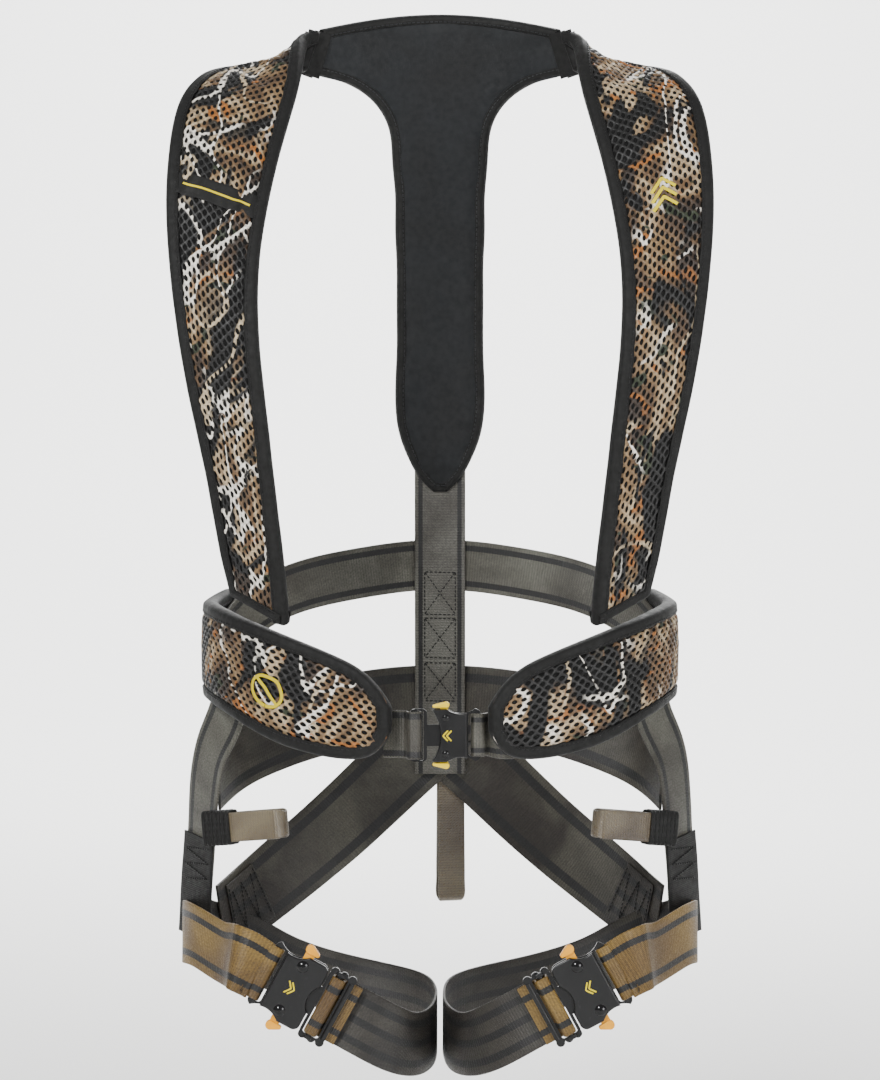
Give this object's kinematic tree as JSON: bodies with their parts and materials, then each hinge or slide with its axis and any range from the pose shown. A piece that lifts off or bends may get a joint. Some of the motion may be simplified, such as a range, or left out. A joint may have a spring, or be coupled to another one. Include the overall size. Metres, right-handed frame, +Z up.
{
  "type": "safety harness vest",
  "caption": "Full-body climbing and tree-stand harness vest with padded camouflage shoulders and waist, leg loops and quick-release buckles.",
  "frame": {"origin": "centre of the wearer's waist, level with the waist buckle", "axes": "+Z up along the standing wearer; the wearer faces -Y; +X is the wearer's left"},
  "size_m": [0.3832, 0.2551, 0.7601],
  "materials": {
    "panel_fabric": "smooth padded nylon, matte",
    "camo_mesh": "perforated mesh printed with brush camouflage",
    "binding_tape": "folded twill tape",
    "pad_foam": "foam under knitted lining",
    "webbing_grey": "ribbed polyester webbing with two black stripes",
    "webbing_olive": "ribbed polyester webbing with a silky sheen and black stripes",
    "loop_bronze": "narrow tubular webbing with a sheen",
    "sleeve_black": "sewn webbing sleeve",
    "buckle_black": "satin black powder coat",
    "plug_black": "satin black powder coat",
    "rivet_black": "polished black steel",
    "tab_yellow_waist": "lemon yellow moulded tab",
    "tab_yellow_leg": "amber yellow moulded tab",
    "spring_steel": "bright spring wire"
  },
  "bodies": {
    "harness": {"back_panel_binding": "binding_tape", "back_panel_lining": "panel_fabric", "back_panel_shell": "panel_fabric", "hip_riser_left": "webbing_grey", "hip_riser_right": "webbing_grey", "leg_buckle_base_left": "buckle_black", "leg_buckle_base_right": "buckle_black", "leg_buckle_cover_left": "buckle_black", "leg_buckle_cover_right": "buckle_black", "leg_buckle_rivets_left": "rivet_black", "leg_buckle_rivets_right": "rivet_black", "leg_front_strap_left": "webbing_olive", "leg_front_strap_right": "webbing_olive", "leg_rear_strap_left": "webbing_grey", "leg_rear_strap_right": "webbing_grey", "loop_sleeve_left": "sleeve_black", "loop_sleeve_right": "sleeve_black", "release_springs": "spring_steel", "seat_band": "webbing_grey", "seat_strap_left": "webbing_grey", "seat_strap_right": "webbing_grey", "shoulder_binding_left": "binding_tape", "shoulder_binding_right": "binding_tape", "shoulder_mesh_left": "camo_mesh", "shoulder_mesh_right": "camo_mesh", "shoulder_pad_left": "pad_foam", "shoulder_pad_right": "pad_foam", "shoulder_webbing_left": "webbing_grey", "shoulder_webbing_right": "webbing_grey", "spine_strap": "webbing_grey", "waist_belt": "webbing_grey", "waist_binding_left": "binding_tape", "waist_binding_right": "binding_tape", "waist_buckle_base": "buckle_black", "waist_buckle_cover": "buckle_black", "waist_buckle_rivets": "rivet_black", "waist_mesh_left": "camo_mesh", "waist_mesh_right": "camo_mesh", "waist_pad_left": "pad_foam", "waist_pad_right": "pad_foam", "yoke_webbing": "webbing_grey"},
    "waist_plug": {"waist_buckle_plug": "plug_black", "waist_adjuster_web": "webbing_olive"},
    "waist_clip_bottom": {"waist_clip_bottom": "tab_yellow_waist"},
    "waist_clip_top": {"waist_clip_top": "tab_yellow_waist"},
    "leg_plug_right": {"leg_buckle_plug_right": "plug_black", "leg_float_bar_right": "plug_black", "leg_adjuster_web_right": "webbing_olive"},
    "leg_clip_upper_right": {"leg_clip_upper_right": "tab_yellow_leg"},
    "leg_clip_lower_right": {"leg_clip_lower_right": "tab_yellow_leg"},
    "lineman_loop_right": {"lineman_loop_right": "loop_bronze"},
    "leg_plug_left": {"leg_buckle_plug_left": "plug_black", "leg_float_bar_left": "plug_black", "leg_adjuster_web_left": "webbing_olive"},
    "leg_clip_upper_left": {"leg_clip_upper_left": "tab_yellow_leg"},
    "leg_clip_lower_left": {"leg_clip_lower_left": "tab_yellow_leg"},
    "lineman_loop_left": {"lineman_loop_left": "loop_bronze"},
    "tail_loop": {"tail_loop": "webbing_grey"},
    "tether_loop": {"tether_loop": "webbing_grey"}
  },
  "joints": [
    {"name": "waist_plug_slide", "type": "slide", "parent": "harness", "child": "waist_plug", "axis": [-1, 0, 0], "range_m": [0, 0.007]},
    {"name": "waist_clip_bottom_press", "type": "hinge", "parent": "harness", "child": "waist_clip_bottom", "pos_m": [0.004, -0.11275, -0.0119], "axis": [0, 1, 0], "range_deg": [0, 5.5], "stiffness_Nm_per_rad": 0.06},
    {"name": "waist_clip_top_press", "type": "hinge", "parent": "harness", "child": "waist_clip_top", "pos_m": [0.004, -0.11275, 0.0129], "axis": [0, -1, 0], "range_deg": [0, 5.5], "stiffness_Nm_per_rad": 0.06},
    {"name": "leg_plug_right_slide", "type": "slide", "parent": "harness", "child": "leg_plug_right", "axis": [0.8796, -0.03, -0.4748], "range_m": [0, 0.015]},
    {"name": "leg_clip_upper_right_press", "type": "hinge", "parent": "harness", "child": "leg_clip_upper_right", "pos_m": [-0.09487, -0.10222, -0.16141], "axis": [0.0264, 0.9996, -0.0142], "range_deg": [0, 10], "stiffness_Nm_per_rad": 0.06},
    {"name": "leg_clip_lower_right_press", "type": "hinge", "parent": "harness", "child": "leg_clip_lower_right", "pos_m": [-0.11131, -0.10222, -0.19186], "axis": [-0.0264, -0.9996, 0.0142], "range_deg": [0, 10], "stiffness_Nm_per_rad": 0.06},
    {"name": "lineman_loop_right_swing", "type": "hinge", "parent": "harness", "child": "lineman_loop_right", "pos_m": [-0.147, -0.033, -0.074], "axis": [-0.0922, 0.0895, 0.9917], "range_deg": [-35, 35], "stiffness_Nm_per_rad": 0.02},
    {"name": "leg_plug_left_slide", "type": "slide", "parent": "harness", "child": "leg_plug_left", "axis": [-0.8796, -0.03, -0.4748], "range_m": [0, 0.015]},
    {"name": "leg_clip_upper_left_press", "type": "hinge", "parent": "harness", "child": "leg_clip_upper_left", "pos_m": [0.09487, -0.10222, -0.16141], "axis": [0.0264, -0.9996, 0.0142], "range_deg": [0, 10], "stiffness_Nm_per_rad": 0.06},
    {"name": "leg_clip_lower_left_press", "type": "hinge", "parent": "harness", "child": "leg_clip_lower_left", "pos_m": [0.11131, -0.10222, -0.19186], "axis": [-0.0264, 0.9996, -0.0142], "range_deg": [0, 10], "stiffness_Nm_per_rad": 0.06},
    {"name": "lineman_loop_left_swing", "type": "hinge", "parent": "harness", "child": "lineman_loop_left", "pos_m": [0.147, -0.033, -0.074], "axis": [-0.0922, -0.0895, -0.9917], "range_deg": [-35, 35], "stiffness_Nm_per_rad": 0.02},
    {"name": "tail_loop_swing", "type": "hinge", "parent": "harness", "child": "tail_loop", "pos_m": [0.008, 0.1275, -0.05], "axis": [1, 0, 0], "range_deg": [0, 75]},
    {"name": "tether_loop_swing", "type": "hinge", "parent": "harness", "child": "tether_loop", "pos_m": [0, 0.1012, 0.452], "axis": [1, 0, 0], "range_deg": [0, 120]}
  ]
}
